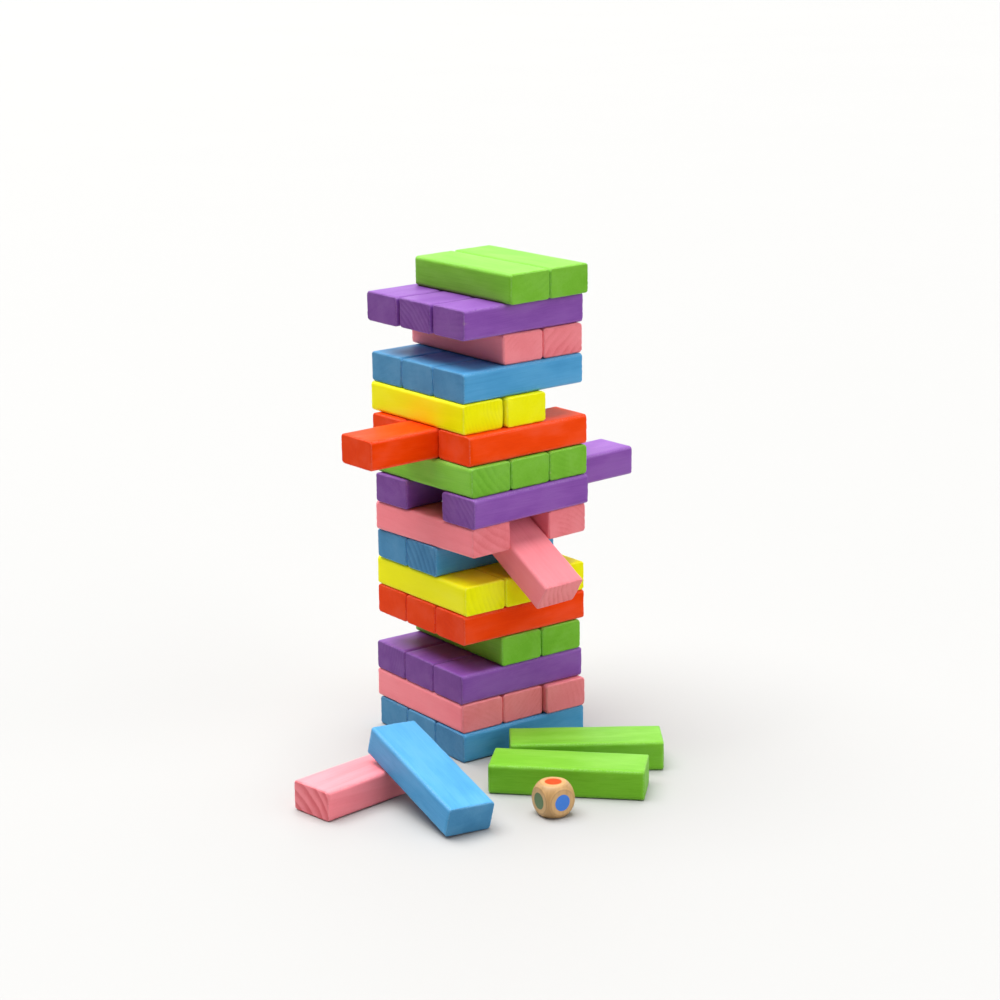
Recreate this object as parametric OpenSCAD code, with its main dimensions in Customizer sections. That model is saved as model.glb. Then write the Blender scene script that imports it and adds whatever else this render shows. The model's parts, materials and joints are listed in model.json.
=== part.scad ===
// Tumbling tower of coloured wooden blocks, in the middle of a game.
// Origin: the middle of the tower's footprint, on the surface it stands on. +Z is up.
// Odd courses run along X and hold a front (-Y), a middle and a back (+Y) block.
// Even courses run along Y and hold a left (-X), a middle and a right (+X) block.

/* [Block] */
// Length of a block, which is also the width of the tower
block_l = 75; // [72:0.5:78]
// Gap between two blocks of one course
side_gap = 0.3; // [0.2:0.05:0.5]
// Height of a course
course_h = 15; // [14.5:0.1:15.5]
// Running clearance between a block and the course above it
top_gap = 0.04; // [0.02:0.01:0.1]
// Radius of a block's rounded edges
edge_r = 1.6; // [1:0.1:2.2]

/* [Blocks that have left their slots] */
// How far the middle block of the ninth course is drawn out
ninth_pull = 56; // [54:1:70]
// How far the middle block of the eleventh course is drawn out
eleventh_pull = 39; // [10:1:60]
// How far the right block of the second course sticks out
second_pull = 2.5; // [0:0.5:10]
// Slope of the block that hangs out of the eighth course
hang_slope = 32; // [31:0.5:32.5]
// Slope of the underside of the blue block that leans on the pink one
lean_slope = 14.4; // [13:0.1:16]

/* [Die] */
// Distance between two opposite faces of the die
die_w = 16; // [15:0.5:18]
// Diameter of the sphere that rounds the die
die_d = 20.5; // [19:0.5:22]

/* [Hidden] */
$fn = 48;
slot_w = block_l / 3;
block_w = slot_w - side_gap;
block_h = course_h - top_gap;

COLOURS = ["blue", "pink", "purple", "green", "orange", "yellow"];
TINTS = ["#3f8fca", "#ee7f93", "#8150b4", "#62bb2e", "#ee4a12", "#f2ea10"];

// Each course from the bottom up: its shift in X and Y, its turn, and the slots that hold a block
ALL = [-1, 0, 1];
COURSES = [
    [-2, -2, -2.5, ALL],
    [-2, -0.5, -2, ALL],
    [-2, -0.5, -2, ALL],
    [-3, -0.5, -1.5, [0, 1]],
    [-0.5, -0.5, -1.5, ALL],
    [-0.5, -0.5, -1, ALL],
    [-1, -2, -0.5, [0, 1]],
    [-1, -1.75, 2.7, ALL],
    [-1.5, -3, 2.7, ALL],
    [-0.5, -2.5, 2, ALL],
    [0, -1, 1, ALL],
    [1, 2, 0.5, [-1, 0]],
    [2, 3.5, 0.5, ALL],
    [3.5, 5.5, 0, [0, 1]],
    [3.5, 6, 0.5, ALL],
    [4, 1.5, 1.5, [0, 1]],
];

// Blocks out of line with their slots: course, slot, how far along the block, how far across it
STRAYS = [
    [2, 1, -second_pull, 0],
    [9, -1, 0, -1.6],
    [9, 0, ninth_pull, 0],
    [11, -1, 1, 0],
    [11, 0, -eleventh_pull, 0],
    [11, 1, -1.5, 0],
    [12, -1, 1.2, 0],
    [12, 0, -0.5, 0.6],
    [15, -1, 0.8, -0.2],
    [15, 0, -0.5, 0],
    [15, 1, -1.5, 0.6],
];

// The block that hangs out of the eighth course: its middle, seen from that course's own axes
HANG_COURSE = 8;
HANG_SLOT = 0;
hang_y = -27.5;
hang_z = 104.25;

// Loose pieces on the surface round the tower: name, tint, place in X and Y, and turn
LOOSE = [
    ["loose_pink", 1, -100, -41, 6.5],
    ["loose_green_near", 3, -22, -95.5, -47],
    ["loose_green_far", 3, 6, -75, -37],
    ["loose_yellow", 5, 72, 80, 52],
];
// The leaning block, seen from the pink block's own axes. Its underside lies along the pink block's
// front upper edge, and the right corner of its lower end touches the surface.
SUPPORT = 0;
lean_gap = 0.1;
lean_x = 6.2;
lean_turn = -102.5;
// How much lower the corner is than the block's middle: the share of each half size, then the rounding
drop_l = -sin(lean_slope) * sin(lean_turn);
drop_w = -sin(lean_slope) * cos(lean_turn);
lean_z = drop_l * (block_l / 2 - edge_r) + drop_w * (block_w / 2 - edge_r)
    + cos(lean_slope) * (block_h / 2 - edge_r) + edge_r * sqrt(1 + 2 * drop_l * drop_w);
// The middle lies where the underside clears the rounded edge by the gap
edge_y = edge_r - block_w / 2;
edge_z = block_h - edge_r;
lean_y = edge_y + (cos(lean_slope) * (lean_z - edge_z) - edge_r - lean_gap - block_h / 2) / sin(lean_slope);

die_x = -48;
die_y = -115.2;
die_turn = -7;

function place_name(n, slot) =
    n % 2 == 1 ? ["front", "middle", "back"][slot + 1] : ["left", "middle", "right"][slot + 1];
function tint_of(n) = (n - 1) % len(COLOURS);
function block_name(n, slot) =
    str("course_", n < 10 ? "0" : "", n, "_", COLOURS[tint_of(n)], "_", place_name(n, slot));
function stray(n, slot) = [for (s = STRAYS) if (s[0] == n && s[1] == slot) [s[2], s[3]]];

// A rectangle with round corners, centred
module round_rect(w, d) {
    square([w - 2 * edge_r, d], center = true);
    square([w, d - 2 * edge_r], center = true);
    for (x = [-1, 1]) {
        for (y = [-1, 1]) {
            translate([x * (w / 2 - edge_r), y * (d / 2 - edge_r)]) {
                circle(r = edge_r);
            }
        }
    }
}

// One block along X, centred on the origin, with every edge rounded
module block(tint) {
    color(TINTS[tint]) {
        intersection() {
            linear_extrude(block_h, center = true) round_rect(block_l, block_w);
            rotate([90, 0, 0]) linear_extrude(block_w, center = true) round_rect(block_l, block_h);
            rotate([0, 90, 0]) linear_extrude(block_l, center = true) round_rect(block_h, block_w);
        }
    }
}

// Puts its children on a course's own axes, at the height of the surface that the tower stands on
module on_course(n) {
    course = COURSES[n - 1];
    translate([course[0], course[1], 0]) {
        rotate([0, 0, course[2]]) children();
    }
}

// A block in its slot of the tower, or as far out of it as STRAYS says
module tower_block(n, slot) {
    moved = concat(stray(n, slot), [[0, 0]])[0];
    level = (n - 1) * course_h + block_h / 2;
    across = slot * slot_w + moved[1];
    on_course(n) {
        if (n % 2 == 1) {
            translate([moved[0], across, level]) block(tint_of(n));
        } else {
            translate([across, moved[0], level]) rotate([0, 0, 90]) block(tint_of(n));
        }
    }
}

// The block that has tipped down and out through the open slot below it
module hanging_block() {
    on_course(HANG_COURSE) {
        translate([0, hang_y, hang_z]) {
            rotate([hang_slope, 0, 0]) rotate([0, 0, 90]) block(tint_of(HANG_COURSE));
        }
    }
}

// Puts its children on a loose block's own axes, at the height of the surface
module on_loose(piece) {
    translate([piece[2], piece[3], 0]) {
        rotate([0, 0, piece[4]]) children();
    }
}

// A block that lies flat beside the tower
module loose_block(piece) {
    on_loose(piece) {
        translate([0, 0, block_h / 2]) block(piece[1]);
    }
}

// The block that has one end on the surface and the other on the pink block
module leaning_block() {
    on_loose(LOOSE[SUPPORT]) {
        translate([lean_x, lean_y, lean_z]) {
            rotate([lean_slope, 0, 0]) rotate([0, 0, lean_turn]) block(0);
        }
    }
}

// The die: a cube rounded by a sphere, so that each face is a flat circle
module die() {
    color("#dcb988") {
        translate([die_x, die_y, die_w / 2]) {
            rotate([0, 0, die_turn]) {
                intersection() {
                    cube(die_w, center = true);
                    sphere(d = die_d);
                }
            }
        }
    }
}

for (n = [1 : len(COURSES)]) {
    for (slot = COURSES[n - 1][3]) {
        union() {
            if (n == HANG_COURSE && slot == HANG_SLOT) {
                hanging_block();
            } else {
                tower_block(n, slot);
            }
        }
    }
}
for (piece = LOOSE) {
    loose_block(piece);
}
leaning_block();  // loose_blue
die();
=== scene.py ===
"""Tumbling tower of stained wooden blocks with its loose blocks and its die, as one scene."""
import json
import math

import bpy
import numpy as np
from mathutils import Matrix, Vector


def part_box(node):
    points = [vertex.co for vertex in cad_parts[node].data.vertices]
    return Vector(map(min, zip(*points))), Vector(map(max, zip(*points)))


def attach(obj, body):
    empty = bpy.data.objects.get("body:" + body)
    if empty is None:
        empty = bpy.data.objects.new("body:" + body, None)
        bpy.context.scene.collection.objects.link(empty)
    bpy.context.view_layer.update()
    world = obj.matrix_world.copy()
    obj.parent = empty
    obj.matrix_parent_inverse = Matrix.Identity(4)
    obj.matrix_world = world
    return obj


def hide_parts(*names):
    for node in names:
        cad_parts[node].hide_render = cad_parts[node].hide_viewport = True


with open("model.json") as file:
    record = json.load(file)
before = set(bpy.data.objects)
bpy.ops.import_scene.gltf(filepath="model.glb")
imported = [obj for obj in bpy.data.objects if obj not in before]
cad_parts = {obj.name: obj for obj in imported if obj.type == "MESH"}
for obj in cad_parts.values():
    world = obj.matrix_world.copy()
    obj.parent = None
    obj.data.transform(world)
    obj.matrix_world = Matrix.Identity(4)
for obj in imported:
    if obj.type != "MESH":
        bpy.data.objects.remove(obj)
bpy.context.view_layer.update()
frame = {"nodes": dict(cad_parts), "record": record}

bl_info = {
    "name": "Tumbling Tower",
    "version": (1, 0, 0),
    "blender": (4, 5, 0),
    "location": "3D View > Sidebar > Tower",
    "description": "Stained wooden blocks, a die and a plain stage for a tumbling tower",
    "category": "Object",
}

MM = 0.001
IN_MM = (1 / MM, 1 / MM, 1 / MM)
NODES = sorted(frame["nodes"])
BODY_OF = {node: body for body, nodes in frame["record"]["behaviour"]["bodies"].items() for node in nodes}

# Blocks whose sawn ends show their rings: the pith's bearing from the end's middle in degrees, how bold
# the rings are from 0 to 1, and how many times wider than usual they lie
FIGURED = {
    "course_06_yellow_left": (15, 0.5, 1.2),
    "course_07_blue_middle": (-30, 0.6, 1.3),
    "course_08_pink_left": (60, 0.3, 1.3),
    "course_08_pink_middle": (25, 0.4, 1.2),
    "course_09_purple_front": (-45, 0.35, 1.4),
    "course_10_green_left": (40, 0.3, 1.3),
    "course_12_yellow_left": (10, 0.4, 1.0),
    "course_14_pink_right": (-50, 0.4, 1.6),
    "course_15_purple_middle": (-45, 0.45, 1.3),
    "loose_pink": (-45, 1.0, 1.7),
}

# Steps of a block's surface: round an end edge, from there to the end's middle, along the straight part,
# round a long edge, and across a wide and a narrow face
END_EDGE_STEPS = 5
END_STEPS = 7
LENGTH_STEPS = 49
LONG_EDGE_STEPS = 6
WIDE_FACE_STEPS = 24
NARROW_FACE_STEPS = 13

# Lengths of the waves that shape a block's faces, its rubbed edges and its sawn rims, and the die
RIPPLE_LENGTH = 11 * MM
RUB_LENGTH = 7 * MM
NICK_LENGTH = 1.9 * MM
DIE_RIPPLE_LENGTH = 5 * MM

# Each node's own seed is this plus its place in the list of nodes
FIRST_SEED = 100
DIE_SEED = 77

AIM_HEIGHT = 120 * MM
SENSOR_WIDTH = 36
SIDE_SHIFT = 0.0204
CLIP_END = 200


# ---------------------------------------------------------------- settings

class BlockSettings(bpy.types.PropertyGroup):
    """Shape and wear of the wooden blocks"""

    long_edge: bpy.props.FloatProperty(
        name="Long edges",
        description="Radius of the four edges along a block",
        default=1.8 * MM,
        min=0.5 * MM,
        max=4 * MM,
        unit="LENGTH",
        precision=5,
    )
    end_edge: bpy.props.FloatProperty(
        name="End edges",
        description="Radius of the edges round a block's two sawn ends",
        default=0.8 * MM,
        min=0.3 * MM,
        max=1.4 * MM,
        unit="LENGTH",
        precision=5,
    )
    ripple: bpy.props.FloatProperty(
        name="Ripple",
        description="Depth of the sanding ripple on the faces",
        default=0.07 * MM,
        min=0,
        max=0.2 * MM,
        unit="LENGTH",
        precision=5,
    )
    wear: bpy.props.FloatProperty(
        name="Edge wear",
        description="Most that handling has taken off an edge",
        default=0.26 * MM,
        min=0,
        max=0.6 * MM,
        unit="LENGTH",
        precision=5,
    )
    chip: bpy.props.FloatProperty(
        name="Chip depth",
        description="Depth of the small chips on the edges",
        default=0.45 * MM,
        min=0,
        max=1 * MM,
        unit="LENGTH",
        precision=5,
    )
    uneven: bpy.props.FloatProperty(
        name="Uneven length",
        description="Most by which a block is cut short of the full length",
        default=0.16 * MM,
        min=0,
        max=1 * MM,
        unit="LENGTH",
        precision=5,
    )


def stain(name, description, default):
    """A colour setting in linear light."""
    return bpy.props.FloatVectorProperty(
        name=name, description=description, default=default, size=3, min=0, max=1, subtype="COLOR"
    )


class StainSettings(bpy.types.PropertyGroup):
    """Colours of the six stains and of bare wood"""

    blue: stain("Blue", "Blue stain where it is thin", (0.095, 0.38, 0.68))
    pink: stain("Pink", "Pink stain where it is thin", (1.0, 0.28, 0.32))
    purple: stain("Purple", "Purple stain where it is thin", (0.26, 0.09, 0.42))
    green: stain("Green", "Green stain where it is thin", (0.22, 0.56, 0.04))
    orange: stain("Orange", "Orange stain where it is thin", (0.96, 0.067, 0.001))
    yellow: stain("Yellow", "Yellow stain where it is thin", (0.97, 0.95, 0.002))
    bare: stain("Bare wood", "Pale wood that shows in a chip", (0.8, 0.6, 0.38))


class DieSettings(bpy.types.PropertyGroup):
    """Shape and colours of the die"""

    sphere: bpy.props.FloatProperty(
        name="Rounding sphere",
        description="Diameter of the sphere that rounds the die's corners",
        default=20.5 * MM,
        unit="LENGTH",
        precision=5,
    )
    turn: bpy.props.FloatProperty(
        name="Turn",
        description="How far the die is turned on the surface",
        default=math.radians(-7),
        subtype="ANGLE",
    )
    dot: bpy.props.FloatProperty(
        name="Dot",
        description="Diameter of the painted dot on each face",
        default=8 * MM,
        unit="LENGTH",
        precision=5,
    )
    wood: stain("Wood", "Pale lacquered wood of the die", (0.66, 0.4, 0.17))
    top_dot: stain("Top dot", "Dot on the upper face", (0.85, 0.055, 0.003))
    front_dot: stain("Front dot", "Dot on the front face", (0.035, 0.2, 0.7))
    # The left dot is green, darkened and dulled to how it looks in shade on the die's left face: painted
    # shade
    left_dot_painted_shade: stain("Left dot", "Dot on the left face", (0.1, 0.18, 0.07))
    right_dot: stain("Right dot", "Dot on the right face", (0.27, 0.1, 0.48))
    back_dot: stain("Back dot", "Dot on the back face", (0.86, 0.24, 0.29))
    base_dot: stain("Base dot", "Dot on the face that the die lies on", (0.85, 0.82, 0.01))


class StageSettings(bpy.types.PropertyGroup):
    """Floor, light and camera"""

    floor: bpy.props.FloatProperty(
        name="Floor", description="Length of the floor's sides", default=60.0, min=10, unit="LENGTH"
    )
    floor_tint: stain("Floor tint", "Colour of the plain floor", (0.445, 0.443, 0.436))
    top_light: bpy.props.FloatProperty(
        name="Top light", description="Strength of the soft light from above", default=4.8, min=0
    )
    key_light: bpy.props.FloatProperty(
        name="Key light", description="Strength of the soft light from the right", default=1.2, min=0
    )
    fill: bpy.props.FloatProperty(
        name="Fill", description="Even light from all round", default=0.2, min=0
    )
    backdrop: bpy.props.FloatProperty(
        name="Backdrop", description="Glow of the pale wall behind the tower", default=1.3, min=0
    )
    azimuth: bpy.props.FloatProperty(
        name="Azimuth",
        description="Camera's place round the tower",
        default=math.radians(-37.8),
        subtype="ANGLE",
    )
    elevation: bpy.props.FloatProperty(
        name="Elevation",
        description="Camera's height above the horizon",
        default=math.radians(15.1),
        subtype="ANGLE",
    )
    roll: bpy.props.FloatProperty(
        name="Roll",
        description="Camera's lean to one side",
        default=math.radians(-0.73),
        subtype="ANGLE",
    )
    distance: bpy.props.FloatProperty(
        name="Distance",
        description="Camera's distance from the tower's middle",
        default=1.274,
        min=0.5,
        unit="LENGTH",
    )
    lens: bpy.props.FloatProperty(
        name="Lens", description="Focal length in millimetres", default=91.4, min=20, unit="CAMERA"
    )


# ---------------------------------------------------------------- shader maths

class Wire:
    """A value in a node tree. An expression on wires adds the Math nodes that work it out."""

    def __init__(self, tree, socket):
        self.tree = tree
        self.socket = socket

    def __add__(self, other):
        return self.tree.math("ADD", self, other)

    def __sub__(self, other):
        return self.tree.math("SUBTRACT", self, other)

    def __rsub__(self, other):
        return self.tree.math("SUBTRACT", other, self)

    def __mul__(self, other):
        return self.tree.math("MULTIPLY", self, other)

    def __truediv__(self, other):
        return self.tree.math("DIVIDE", self, other)

    def __pow__(self, other):
        return self.tree.math("POWER", self, other)

    __radd__ = __add__
    __rmul__ = __mul__


class Tree:
    """The nodes of one material or world. Its node method adds any node."""

    def __init__(self, graph):
        self.graph = graph
        graph.nodes.clear()

    def node(self, kind, settings=None, sockets=None, out=0):
        """A node of that kind: its settings first, then a value or a wire for each socket named."""
        made = self.graph.nodes.new(kind)
        for key, value in (settings or {}).items():
            setattr(made, key, value)
        for key, value in (sockets or {}).items():
            if isinstance(value, Wire):
                self.graph.links.new(value.socket, made.inputs[key])
            else:
                made.inputs[key].default_value = value
        return Wire(self, made.outputs[out]) if made.outputs else None

    def math(self, operation, *values):
        """One Math node on numbers or wires."""
        return self.node("ShaderNodeMath", {"operation": operation}, dict(enumerate(values)))

    def stretch(self, vector, by):
        """The vector with each of its parts times the same part of by."""
        return self.node("ShaderNodeVectorMath", {"operation": "MULTIPLY"}, {0: vector, 1: by})

    def noise(self, vector, by, detail=2.0, rough=0.5):
        """Noise from 0 to 1 on a stretched vector, so that its spots grow long where by is small."""
        stretched = self.stretch(vector, by)
        sockets = {"Vector": stretched, "Scale": 1.0, "Detail": detail, "Roughness": rough}
        return self.node("ShaderNodeTexNoise", {}, sockets)

    def step(self, value, low, high):
        """0 below low, 1 above high, and a smooth rise between them."""
        settings = {"interpolation_type": "SMOOTHSTEP"}
        return self.node("ShaderNodeMapRange", settings, {"Value": value, "From Min": low, "From Max": high})

    def mix(self, factor, a, b):
        """Colour a where factor is 0 and colour b where it is 1."""
        return self.node("ShaderNodeMix", {"data_type": "RGBA"}, {0: factor, 6: a, 7: b}, 2)

    def attribute(self, name, out="Fac"):
        """What a mesh holds under that name, as a number or, from out "Vector", as a vector."""
        return self.node("ShaderNodeAttribute", {"attribute_name": name}, {}, out)

    def parts(self, vector):
        """The three parts of a vector."""
        first = self.node("ShaderNodeSeparateXYZ", {}, {0: vector})
        return [Wire(self, socket) for socket in first.socket.node.outputs]


def opaque(colour, gain=1.0):
    """A colour with alpha, its parts times gain and no brighter than 1."""
    return tuple(min(1.0, part * gain) for part in colour) + (1.0,)


# ---------------------------------------------------------------- finishes

def stained_wood(name, tint, bare, wood):
    """Stained and lacquered wood.

    Growth rings are bands of the distance from the pith, which runs beside the block. Each band darkens
    slowly and ends sharply. Fibres are noise drawn out along the block, pores are short dark dashes,
    and the stain lies unevenly, deeper in the sawn ends and paler along the edges, partly where it is
    rubbed thin and partly as a painted highlight. A noise's three numbers are its spots per millimetre
    along the block, across it and up. BlockMaker says what wood holds."""
    finish = bpy.data.materials.new(name)
    finish.use_nodes = True
    tree = Tree(finish.node_tree)
    at = tree.stretch(tree.attribute("grain_at", "Vector"), IN_MM)
    end = tree.attribute("end_grain")
    edge = tree.attribute("edge")
    chip = tree.attribute("chip")
    tone = tree.attribute("tone")
    bold = tree.attribute("bold")

    wander = tree.noise(at, (0.008, 0.05, 0.05), 2.0)
    ripple = tree.noise(at, (0.04, 0.3, 0.3), 3.0, 0.6)
    _, across, up = tree.parts(at)
    reach = tree.math("SQRT", across * across + up * up) + wander * 5.0 + ripple * 0.7
    band = tree.math("FRACT", reach / wood.spacing)
    late = tree.step(band, 0.1, 0.8) * tree.step(band, 1.0, 0.8)
    coarse = tree.noise(at, (0.01, 0.09, 0.09), 2.0)
    rings = late * tree.step(coarse + 0.2 * bold, 0.38, 0.66) * (0.1 + 0.9 * bold)

    fibre = tree.noise(at, (0.045, 2.2, 2.2), 4.0, 0.65)
    hair = tree.noise(at, (0.09, 6.0, 6.0), 2.0, 0.6)
    pore = tree.step(tree.noise(at, (0.3, 5.0, 5.0), 1.0), 0.66, 0.78)
    cloud = tree.noise(at, (0.035, 0.09, 0.09), 3.0, 0.55)
    speck = tree.noise(at, (1.6, 1.6, 1.6), 2.0)

    depth = rings * (wood.figure * (0.3 + 1.1 * end))
    depth = depth + tree.step(fibre, 0.35, 0.8) * (wood.streaks * (1.0 - 0.5 * end))
    depth = depth + tree.step(hair, 0.4, 0.8) * (0.35 * wood.streaks)
    depth = depth + tree.step(cloud, 0.38, 0.75) * wood.blotch
    depth = depth + pore * (0.07 + 0.08 * end) + tone * 0.1
    depth = depth + tree.step(speck, 0.35, 0.75) * (0.05 + 0.1 * end)
    # Paler patches along the edges: stain rubbed thin there, and in part a painted highlight on the edges
    worn = edge * tree.step(speck * 0.6 + fibre * 0.5, 0.42, 0.72)
    depth = tree.math("MAXIMUM", tree.math("MINIMUM", depth - worn * 0.2, 1.0), 0.0)

    deep = tuple(part ** 1.4 * 0.78 for part in tint)
    pale = tuple(1.0 - (1.0 - part) * 0.82 for part in tint)
    earthy = tuple(part * 0.06 for part in bare)
    colour = tree.mix(depth, opaque(tint), opaque(deep))
    # The edges turn paler: wear, and in part painted highlight
    colour = tree.mix(worn * 0.55, colour, opaque(pale))
    colour = tree.mix(tree.step(cloud, 0.6, 0.25) * 0.12, colour, opaque(pale))
    colour = tree.mix(end * wood.soak, colour, opaque(earthy))
    colour = tree.mix(chip * tree.step(speck, 0.3, 0.5) * 0.35, colour, opaque(bare))

    rough = 0.4 + 0.14 * fibre + 0.12 * end + 0.06 * worn + 0.25 * chip
    height = fibre * 0.03 + hair * 0.02 - rings * 0.012 - pore * 0.02 - speck * (0.012 + 0.02 * chip)
    bump = tree.node("ShaderNodeBump", {}, {"Height": height, "Distance": MM, "Strength": 0.8}, "Normal")
    shine = {
        "Base Color": colour,
        "Roughness": rough,
        "Normal": bump,
        "IOR": wood.gloss,
        "Specular Tint": opaque(tint),
    }
    skin = tree.node("ShaderNodeBsdfPrincipled", {}, shine)
    tree.node("ShaderNodeOutputMaterial", {}, {"Surface": skin})
    return finish


def die_finish(name, looks):
    """Pale lacquered wood, darker on its rounded corners, with a painted dot in the middle of each face.

    A dot is where the die's own coordinates lie within the dot's radius of a face's middle, with an edge
    that noise makes a little uneven. Grain is rings round a pith beside the die, and long fibres."""
    finish = bpy.data.materials.new(name)
    finish.use_nodes = True
    tree = Tree(finish.node_tree)
    at = tree.stretch(tree.attribute("die_at", "Vector"), IN_MM)
    rim = tree.attribute("edge")
    rounded = tree.attribute("rounded")
    x, y, z = tree.parts(at)
    moved = tree.node("ShaderNodeVectorMath", {"operation": "ADD"}, {0: at, 1: (40.0, 11.0, 19.0)})
    wander = tree.noise(moved, (0.1, 0.1, 0.03), 3.0)
    reach = tree.math("SQRT", (x + 17.0) * (x + 17.0) + (y - 9.0) * (y - 9.0)) + wander * 2.0
    band = tree.math("FRACT", reach / 1.5)
    late = band ** 3.0 * tree.step(band, 1.0, 0.82)
    fibre = tree.noise(moved, (3.0, 3.0, 0.12), 4.0, 0.65)
    cloud = tree.noise(moved, (0.25, 0.25, 0.1), 2.0)
    speck = tree.noise(moved, (2.5, 2.5, 2.5), 2.0)
    dark = opaque(part ** 1.25 * 0.55 for part in looks.wood)
    depth = late * 0.2 + tree.step(fibre, 0.4, 0.8) * 0.2 + tree.step(cloud, 0.35, 0.75) * 0.3
    colour = tree.mix(depth, opaque(looks.wood), dark)
    colour = tree.mix(rounded * (0.2 + 0.4 * cloud), colour, dark)
    colour = tree.mix(rim * (0.3 + 0.4 * speck), colour, dark)

    radius = looks.dot / 2 / MM
    paint = None
    faces = (
        (z, 1.0, x, y, looks.top_dot),
        (z, -1.0, x, y, looks.base_dot),
        (y, -1.0, x, z, looks.front_dot),
        (y, 1.0, x, z, looks.back_dot),
        # Left face: its dot colour carries painted shade
        (x, -1.0, y, z, looks.left_dot_painted_shade),
        (x, 1.0, y, z, looks.right_dot),
    )
    # The die's flats lie 8 mm out, so a dot starts 7.2 to 7.7 mm out and keeps off the rounded corners
    for out, side, right, up, tint in faces:
        off = tree.math("SQRT", right * right + up * up) + speck * 0.35
        mask = tree.step(off, radius + 0.32, radius + 0.02) * tree.step(out * side, 7.2, 7.7)
        worn = mask * (1.0 - tree.step(speck * 0.5 + fibre * 0.6, 0.66, 0.74) * 0.35)
        colour = tree.mix(worn, colour, opaque(tint))
        paint = mask if paint is None else paint + mask
    rough = 0.36 + 0.12 * fibre + 0.05 * paint
    height = fibre * 0.03 - late * 0.02 + paint * 0.05 - speck * 0.012
    bump = tree.node("ShaderNodeBump", {}, {"Height": height, "Distance": MM, "Strength": 0.8}, "Normal")
    shine = {
        "Base Color": colour,
        "Roughness": rough,
        "Normal": bump,
        "IOR": 1.4,
        "Coat Weight": 0.15,
        "Coat Roughness": 0.25,
    }
    skin = tree.node("ShaderNodeBsdfPrincipled", {}, shine)
    tree.node("ShaderNodeOutputMaterial", {}, {"Surface": skin})
    return finish


def floor_finish(name, tint):
    """Matt pale board with a faint mottle."""
    finish = bpy.data.materials.new(name)
    finish.use_nodes = True
    tree = Tree(finish.node_tree)
    at = tree.node("ShaderNodeTexCoord", {}, {}, "Object")
    mottle = tree.noise(at, (3.0, 3.0, 3.0), 3.0)
    tooth = tree.noise(at, (900.0, 900.0, 900.0), 2.0)
    colour = tree.mix(mottle * 0.05, opaque(tint), opaque(tint, 0.9))
    relief = {"Height": tooth * 0.02, "Distance": MM, "Strength": 0.4}
    bump = tree.node("ShaderNodeBump", {}, relief, "Normal")
    shine = {"Base Color": colour, "Roughness": 0.6 + 0.1 * mottle, "Normal": bump}
    skin = tree.node("ShaderNodeBsdfPrincipled", {}, shine)
    tree.node("ShaderNodeOutputMaterial", {}, {"Surface": skin})
    return finish


# ---------------------------------------------------------------- shapes

def ripples(points, size, seed, waves=10):
    """Smooth noise near -1 to 1: the sum of sine waves in seeded directions, each about size long."""
    dice = np.random.default_rng(seed)
    way = dice.normal(size=(waves, 3))
    way /= np.linalg.norm(way, axis=1, keepdims=True)
    way *= 2 * math.pi / size * dice.uniform(0.6, 1.7, (waves, 1))
    phase = dice.uniform(0, 2 * math.pi, waves)
    return np.clip(np.sin(points @ way.T + phase).sum(axis=1) / math.sqrt(waves), -1, 1)


def axes_of(node):
    """Middle, half sizes and axes of a CAD block, from how much of its skin faces each way.

    The sum of area times normal times normal has the block's axes as its own: the least skin faces along the
    block, more faces across it, and the most faces up. The length runs towards the right or the front, and
    the axes are a right-handed set."""
    mesh = frame["nodes"][node].data
    points = np.empty(len(mesh.vertices) * 3)
    mesh.vertices.foreach_get("co", points)
    points = points.reshape(-1, 3)
    area = np.empty(len(mesh.polygons))
    mesh.polygons.foreach_get("area", area)
    facing = np.empty(len(mesh.polygons) * 3)
    mesh.polygons.foreach_get("normal", facing)
    facing = facing.reshape(-1, 3)
    turned = np.linalg.eigh((facing * area[:, None]).T @ facing)[1].T
    turned[2] *= np.sign(turned[2, 2])
    turned[0] *= np.sign(turned[0] @ (1, -2, 0))
    turned[1] = np.cross(turned[2], turned[0])
    reach = points @ turned.T
    low = reach.min(axis=0)
    high = reach.max(axis=0)
    return (low + high) / 2 @ turned, (high - low) / 2, turned


def round_outline(half_w, half_h, radius, arc, wide, tall):
    """A rectangle with quarter-circle corners, as points and outward normals, run anticlockwise.

    Each corner has arc steps; the flats between them have wide or tall steps."""
    points = []
    normals = []
    for corner in range(4):
        angle = np.linspace(0, math.pi / 2, arc + 1) + corner * math.pi / 2
        out = np.stack([np.cos(angle), np.sin(angle)], axis=1)
        side = np.sign(np.round(out[0] + out[-1]))
        points.append(side * (half_w - radius, half_h - radius) + radius * out)
        normals.append(out)
        steps = wide if corner % 2 == 0 else tall
        along = np.linspace(0, 1, steps + 1)[1:-1, None]
        way = np.array([-out[-1][1], out[-1][0]])
        span = 2 * (half_w - radius if corner % 2 == 0 else half_h - radius)
        points.append(points[-1][-1] + way * span * along)
        normals.append(np.repeat(out[-1:], steps - 1, axis=0))
    return np.concatenate(points), np.concatenate(normals)


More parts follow.
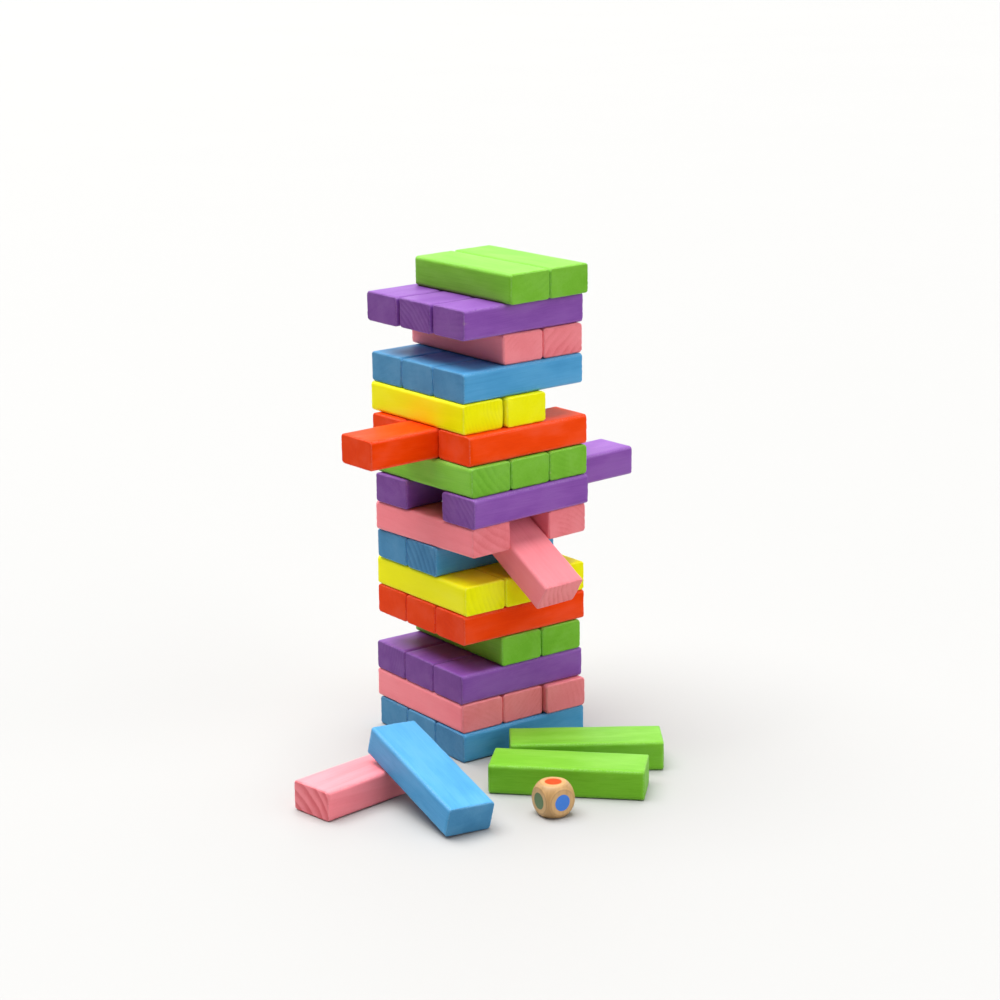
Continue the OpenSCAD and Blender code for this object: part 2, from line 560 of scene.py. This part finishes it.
def block_surface(half, long_edge, end_edge):
    """A block as rings of one outline, carried from end to end along its length.

    Along the straight part the outline is whole. Round an end edge it is drawn in by a quarter circle's
    height, and across the sawn end it shrinks to one point in the middle. The result is the points, their
    outward normals, how near each is to an edge and to a sawn end from 0 to 1, and the faces."""
    quarter = math.pi / 2
    arc = np.linspace(0, quarter, END_EDGE_STEPS + 1)[1:]
    cap = np.sin(np.linspace(0, quarter, END_STEPS + 1))[1:]
    along = np.linspace(-half[0] + end_edge, half[0] - end_edge, LENGTH_STEPS + 1)[1:-1]
    middle = np.zeros(len(along))
    x = np.concatenate([np.full(END_STEPS, -half[0]), -half[0] + end_edge * (1 - np.cos(arc))])
    inset = np.concatenate([np.full(END_STEPS, end_edge), end_edge * (1 - np.sin(arc))])
    scale = np.concatenate([cap, np.ones(END_EDGE_STEPS)])
    lean = np.concatenate([np.full(END_STEPS, quarter), quarter - arc])
    x = np.concatenate([x, along, -x[::-1]])
    inset = np.concatenate([inset, middle, inset[::-1]])
    scale = np.concatenate([scale, middle + 1, scale[::-1]])
    lean = np.concatenate([-lean, middle, lean[::-1]])
    steps = (LONG_EDGE_STEPS, WIDE_FACE_STEPS, NARROW_FACE_STEPS)
    flat, out = round_outline(half[1], half[2], long_edge, *steps)
    rows = len(x)
    columns = len(flat)
    ring = scale[:, None, None] * (flat[None] - out[None] * inset[:, None, None])
    points = np.concatenate([np.repeat(x[:, None, None], columns, axis=1), ring], axis=2)
    normals = np.empty((rows, columns, 3))
    normals[..., 0] = np.sin(lean)[:, None]
    normals[..., 1:] = np.cos(lean)[:, None, None] * out[None]
    corner = 1 - np.abs(np.abs(out[:, 0]) - np.abs(out[:, 1]))
    edge = np.repeat(np.sin(2 * np.abs(lean))[:, None], columns, axis=1)
    edge = np.maximum(edge, corner * (np.cos(lean)[:, None] > 0.1))
    end = np.repeat(np.sin(np.abs(lean))[:, None] ** 2, columns, axis=1)
    poles = np.array([[-half[0], 0, 0], [half[0], 0, 0]])
    points = np.concatenate([points.reshape(-1, 3), poles])
    normals = np.concatenate([normals.reshape(-1, 3), np.sign(poles)])
    edge = np.concatenate([edge.ravel(), [0, 0]])
    end = np.concatenate([end.ravel(), [1, 1]])
    row, column = np.meshgrid(np.arange(rows - 1), np.arange(columns), indexing="ij")
    here = row * columns + column
    beside = row * columns + (column + 1) % columns
    quads = np.stack([here, beside, beside + columns, here + columns], axis=-1).reshape(-1, 4)
    column = np.arange(columns)
    after = (column + 1) % columns
    last = (rows - 1) * columns
    first_fan = np.stack([np.full(columns, rows * columns), after, column], axis=1)
    last_fan = np.stack([np.full(columns, rows * columns + 1), last + column, last + after], axis=1)
    return points, normals, edge, end, quads.tolist() + first_fan.tolist() + last_fan.tolist()


def write_attribute(mesh, name, kind, values):
    """Puts one value for each vertex on a mesh."""
    made = mesh.attributes.new(name, kind, "POINT")
    field = "vector" if kind == "FLOAT_VECTOR" else "value"
    made.data.foreach_set(field, np.ascontiguousarray(values).ravel())


def new_piece(name, points, faces, finish, node):
    """A smooth piece at the origin that rides on a node's body and stands for that node."""
    mesh = bpy.data.meshes.new(name)
    mesh.from_pydata(points.tolist(), [], faces)
    mesh.polygons.foreach_set("use_smooth", np.ones(len(mesh.polygons), dtype=bool))
    mesh.materials.append(finish)
    piece = bpy.data.objects.new(name, mesh)
    bpy.context.scene.collection.objects.link(piece)
    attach(piece, BODY_OF[node])
    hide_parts(node)
    return piece


def make_block(node, finish, sizes):
    """One wooden block in the place of its CAD node.

    The plain block is cut a little short, pressed in by ripples and by wear on its edges, and chipped in a
    few small round hollows. Every change goes inwards, so that the block stays inside the CAD box."""
    seed = FIRST_SEED + NODES.index(node)
    dice = np.random.default_rng(seed)
    middle, half, axes = axes_of(node)
    slack = sizes.uneven / 2
    short = dice.uniform(0, slack)
    shift = dice.uniform(-1, 1) * (slack - short)
    narrow = dice.uniform(0.0, 0.06) * MM
    half = half - (short + abs(shift), narrow, 0.0)
    points, normals, edge, end, faces = block_surface(half, sizes.long_edge, sizes.end_edge)

    press = sizes.ripple * (0.5 + 0.5 * ripples(points * (0.35, 1, 1), RIPPLE_LENGTH, seed + 1000))
    rub = 0.5 + 0.5 * ripples(points * (0.5, 1, 1), RUB_LENGTH, seed + 2000)
    nick = np.clip(ripples(points, NICK_LENGTH, seed + 3000, 16) * 1.4 - 0.15, 0, 1)
    rim = np.clip(end * 6, 0, 1) * np.clip((1 - end) * 6, 0, 1)
    press = press + sizes.wear * (0.4 * rub * edge + 1.1 * nick * rim + 0.15 * nick * edge)

    # None to two chips, each a bell-shaped hollow on an edge, drawn out along the block
    chip = np.zeros(len(points))
    on_edge = np.flatnonzero(edge > 0.8)
    chips = dice.integers(0, 3)
    for spot in dice.choice(on_edge, chips, replace=False):
        chip_radius = dice.uniform(0.6, 1.3) * MM
        away = np.linalg.norm((points - points[spot]) * (dice.uniform(0.35, 0.9), 1, 1), axis=1)
        chip = np.maximum(chip, np.exp(-((away / chip_radius) ** 2)) * dice.uniform(0.3, 1))
    press = press + sizes.chip * chip * 0.5
    points = points - normals * press[:, None]
    points[:, 0] += shift

    # Where each point lies in the log: the pith is off the block's side and runs a little askew to it
    plain = (dice.uniform(0, 360), dice.uniform(0, 0.16), 1.0)
    bearing, bold, wide = FIGURED.get(node, plain)
    angle = math.radians(bearing)
    pith = np.array([0, math.cos(angle), math.sin(angle)]) * dice.uniform(30, 80) * MM
    grain = points - pith
    grain[:, 1] += points[:, 0] * dice.uniform(-0.05, 0.05)
    grain[:, 2] += points[:, 0] * dice.uniform(-0.05, 0.05)
    grain = grain * dice.uniform(0.85, 1.25) / wide
    grain[:, 0] += dice.uniform(-4, 4)

    placed = np.clip(middle + points @ axes, *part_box(node))
    piece = new_piece("stained_" + node, placed, faces, finish, node)
    write_attribute(piece.data, "grain_at", "FLOAT_VECTOR", grain)
    write_attribute(piece.data, "end_grain", "FLOAT", end)
    write_attribute(piece.data, "edge", "FLOAT", edge)
    write_attribute(piece.data, "chip", "FLOAT", np.clip(chip * 1.6 - 0.7, 0, 1))
    write_attribute(piece.data, "tone", "FLOAT", np.full(len(points), dice.uniform(-1, 1)))
    write_attribute(piece.data, "bold", "FLOAT", np.full(len(points), bold))


def make_die(node, finish, looks):
    """The die: a cube rounded by a sphere.

    Six square grids are pushed out from the middle along their own directions, as far as the cube's face or
    the sphere, whichever is nearer, with a soft turn where the two meet."""
    low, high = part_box(node)
    middle = (np.array(low) + np.array(high)) / 2
    half = (high[2] - low[2]) / 2
    steps = 48
    grid = np.tan(np.linspace(-math.pi / 4, math.pi / 4, steps + 1))
    u, v = np.meshgrid(grid, grid, indexing="ij")
    one = np.ones_like(u)
    sides = [(one, u, v), (-one, -u, v), (-u, one, v), (u, -one, v), (u, v, one), (-u, v, -one)]
    way = np.concatenate([np.stack(side, axis=-1).reshape(-1, 3) for side in sides])
    way /= np.linalg.norm(way, axis=1, keepdims=True)
    flat = half / np.abs(way).max(axis=1)
    ball = looks.sphere / 2
    soft = 0.12 * MM
    reach = -np.log(np.exp(-flat / soft) + np.exp(-ball / soft)) * soft
    reach = np.minimum(reach, flat)
    points = way * reach[:, None]
    ripple = 0.5 + 0.5 * ripples(points, DIE_RIPPLE_LENGTH, DIE_SEED)
    points -= way * (0.03 * MM * ripple)[:, None]
    rim_width = 0.22 * MM
    edge = np.exp(-(((flat - ball) / rim_width) ** 2))
    row, column = np.meshgrid(np.arange(steps), np.arange(steps), indexing="ij")
    corner = (row * (steps + 1) + column).ravel()
    quad = np.stack([corner, corner + steps + 1, corner + steps + 2, corner + 1], axis=1)
    faces = np.concatenate([quad + side * (steps + 1) ** 2 for side in range(6)])
    _, first, back = np.unique(way.round(6), axis=0, return_index=True, return_inverse=True)
    faces = back.ravel()[faces]
    points = points[first]
    turn = np.array(Matrix.Rotation(looks.turn, 3, "Z"))
    piece = new_piece("lacquered_" + node, middle + points @ turn.T, faces.tolist(), finish, node)
    write_attribute(piece.data, "die_at", "FLOAT_VECTOR", points)
    write_attribute(piece.data, "edge", "FLOAT", edge[first])
    write_attribute(piece.data, "rounded", "FLOAT", np.clip((flat - ball) / MM, 0, 1)[first])


# ---------------------------------------------------------------- operators

class BlockMaker:
    """What the six block operators share: every block of one stain.

    Each of them says its stain, how dark the growth rings (figure), the fibres (streaks) and the uneven
    stain (blotch) are, how many millimetres lie from ring to ring (spacing), how far a sawn end turns
    brown (soak), and the lacquer's index of refraction (gloss)."""

    def execute(self, context):
        scene = context.scene
        nodes = [node for node in NODES if self.stain in node.split("_")]
        if not nodes:
            raise RuntimeError("the frame has no block of stain " + self.stain)
        tint = tuple(getattr(scene.tower_stains, self.stain))
        bare = tuple(scene.tower_stains.bare)
        finish = stained_wood(self.stain + "_stained_wood", tint, bare, self)
        for node in nodes:
            make_block(node, finish, scene.tower_blocks)
        return {"FINISHED"}


class TOWER_OT_blue_blocks(BlockMaker, bpy.types.Operator):
    """Make the blue blocks"""

    bl_idname = "tower.blue_blocks"
    bl_label = "Blue blocks"
    stain = "blue"
    figure = 0.65
    streaks = 0.3
    blotch = 0.3
    spacing = 3.1
    soak = 0.28
    gloss = 1.45


class TOWER_OT_pink_blocks(BlockMaker, bpy.types.Operator):
    """Make the pink blocks"""

    bl_idname = "tower.pink_blocks"
    bl_label = "Pink blocks"
    stain = "pink"
    figure = 0.65
    streaks = 0.16
    blotch = 0.2
    spacing = 2.6
    soak = 0.1
    gloss = 1.42


class TOWER_OT_purple_blocks(BlockMaker, bpy.types.Operator):
    """Make the purple blocks"""

    bl_idname = "tower.purple_blocks"
    bl_label = "Purple blocks"
    stain = "purple"
    figure = 0.55
    streaks = 0.2
    blotch = 0.24
    spacing = 2.6
    soak = 0.24
    gloss = 1.42


class TOWER_OT_green_blocks(BlockMaker, bpy.types.Operator):
    """Make the green blocks"""

    bl_idname = "tower.green_blocks"
    bl_label = "Green blocks"
    stain = "green"
    figure = 0.6
    streaks = 0.3
    blotch = 0.22
    spacing = 2.8
    soak = 0.1
    gloss = 1.45


class TOWER_OT_orange_blocks(BlockMaker, bpy.types.Operator):
    """Make the orange blocks"""

    bl_idname = "tower.orange_blocks"
    bl_label = "Orange blocks"
    stain = "orange"
    figure = 0.4
    streaks = 0.18
    blotch = 0.22
    spacing = 2.8
    soak = 0.1
    gloss = 1.25


class TOWER_OT_yellow_blocks(BlockMaker, bpy.types.Operator):
    """Make the yellow blocks"""

    bl_idname = "tower.yellow_blocks"
    bl_label = "Yellow blocks"
    stain = "yellow"
    figure = 0.4
    streaks = 0.13
    blotch = 0.16
    spacing = 2.6
    soak = 0.04
    gloss = 1.25


class TOWER_OT_die(bpy.types.Operator):
    """Make the die with a painted dot on each face"""

    bl_idname = "tower.die"
    bl_label = "Die"

    def execute(self, context):
        looks = context.scene.tower_die
        make_die("die", die_finish("lacquered_pale_wood", looks), looks)
        return {"FINISHED"}


class TOWER_OT_stage(bpy.types.Operator):
    """Lay the floor and set the light and the camera"""

    bl_idname = "tower.stage"
    bl_label = "Stage"

    def execute(self, context):
        scene = context.scene
        stage = scene.tower_stage
        self.lay_floor(scene, stage)
        self.set_light(scene, stage)
        self.set_camera(scene, stage)
        return {"FINISHED"}

    def lay_floor(self, scene, stage):
        """A square floor: one flat face at height 0."""
        reach = stage.floor / 2
        mesh = bpy.data.meshes.new("floor")
        corners = [(-reach, -reach, 0), (reach, -reach, 0), (reach, reach, 0), (-reach, reach, 0)]
        mesh.from_pydata(corners, [], [(0, 1, 2, 3)])
        mesh.materials.append(floor_finish("pale_board", tuple(stage.floor_tint)))
        floor = bpy.data.objects.new("floor", mesh)
        scene.collection.objects.link(floor)

    def set_light(self, scene, stage):
        """A wide soft light above, a softer one from the right, and a pale wall's glow behind."""
        lights = (
            ("top_light", stage.top_light, (-0.1, 0.2, 1.0), 60),
            ("key_light", stage.key_light, (0.5, -1.0, 0.55), 60),
        )
        for name, strength, towards, spread in lights:
            light = bpy.data.lights.new(name, "SUN")
            light.energy = strength
            light.angle = math.radians(spread)
            lamp = bpy.data.objects.new(name, light)
            lamp.rotation_euler = Vector(towards).to_track_quat("Z", "Y").to_euler()
            scene.collection.objects.link(lamp)
        world = bpy.data.worlds.new("studio")
        world.use_nodes = True
        scene.world = world
        tree = Tree(world.node_tree)
        way = tree.node("ShaderNodeTexCoord", {}, {}, "Generated")
        behind = (0.59, 0.76, 0.3)
        facing = tree.node("ShaderNodeVectorMath", {"operation": "DOT_PRODUCT"}, {0: way, 1: behind}, "Value")
        glow = tree.step(facing, 0.2, 0.95) * stage.backdrop + stage.fill
        surface = tree.node("ShaderNodeBackground", {}, {"Strength": glow})
        tree.node("ShaderNodeOutputWorld", {}, {"Surface": surface})
        scene.view_settings.view_transform = "Standard"

    def set_camera(self, scene, stage):
        """The camera looks at the tower's middle from its azimuth and elevation, leaning by its roll."""
        camera = bpy.data.cameras.new("camera")
        camera.lens = stage.lens
        camera.sensor_width = SENSOR_WIDTH
        camera.shift_x = SIDE_SHIFT
        camera.clip_end = CLIP_END
        eye = bpy.data.objects.new("camera", camera)
        scene.collection.objects.link(eye)
        turn = stage.azimuth
        rise = stage.elevation
        back = Vector((math.sin(turn) * math.cos(rise), -math.cos(turn) * math.cos(rise), math.sin(rise)))
        right = Vector((math.cos(turn), math.sin(turn), 0))
        up = back.cross(right)
        lean = stage.roll
        x = right * math.cos(lean) + up * math.sin(lean)
        y = up * math.cos(lean) - right * math.sin(lean)
        place = Matrix((x, y, back)).transposed().to_4x4()
        place.translation = Vector((0, 0, AIM_HEIGHT)) + back * stage.distance
        eye.matrix_world = place
        scene.camera = eye


OPERATORS = (
    TOWER_OT_blue_blocks,
    TOWER_OT_pink_blocks,
    TOWER_OT_purple_blocks,
    TOWER_OT_green_blocks,
    TOWER_OT_orange_blocks,
    TOWER_OT_yellow_blocks,
    TOWER_OT_die,
    TOWER_OT_stage,
)


class TOWER_PT_sidebar(bpy.types.Panel):
    """Lists the settings and the operators that build the tower"""

    bl_idname = "TOWER_PT_sidebar"
    bl_label = "Tumbling tower"
    bl_space_type = "VIEW_3D"
    bl_region_type = "UI"
    bl_category = "Tower"

    def draw(self, context):
        scene = context.scene
        for group in (scene.tower_blocks, scene.tower_stains, scene.tower_die, scene.tower_stage):
            box = self.layout.box()
            for key in group.__annotations__:
                box.prop(group, key)
        for operator in OPERATORS:
            self.layout.operator(operator.bl_idname)


SETTINGS = {
    "tower_blocks": BlockSettings,
    "tower_stains": StainSettings,
    "tower_die": DieSettings,
    "tower_stage": StageSettings,
}
CLASSES = (*SETTINGS.values(), *OPERATORS, TOWER_PT_sidebar)


def register():
    """Registers the classes and hangs each group of settings on the scene."""
    for kind in CLASSES:
        bpy.utils.register_class(kind)
    for name, kind in SETTINGS.items():
        setattr(bpy.types.Scene, name, bpy.props.PointerProperty(type=kind))


def unregister():
    """Undoes what register did."""
    for name in SETTINGS:
        delattr(bpy.types.Scene, name)
    for kind in reversed(CLASSES):
        bpy.utils.unregister_class(kind)


def main():
    """Builds every block, the die and the stage."""
    register()
    bpy.ops.tower.blue_blocks()
    bpy.ops.tower.pink_blocks()
    bpy.ops.tower.purple_blocks()
    bpy.ops.tower.green_blocks()
    bpy.ops.tower.orange_blocks()
    bpy.ops.tower.yellow_blocks()
    bpy.ops.tower.die()
    bpy.ops.tower.stage()


if __name__ == "__main__":
    main()
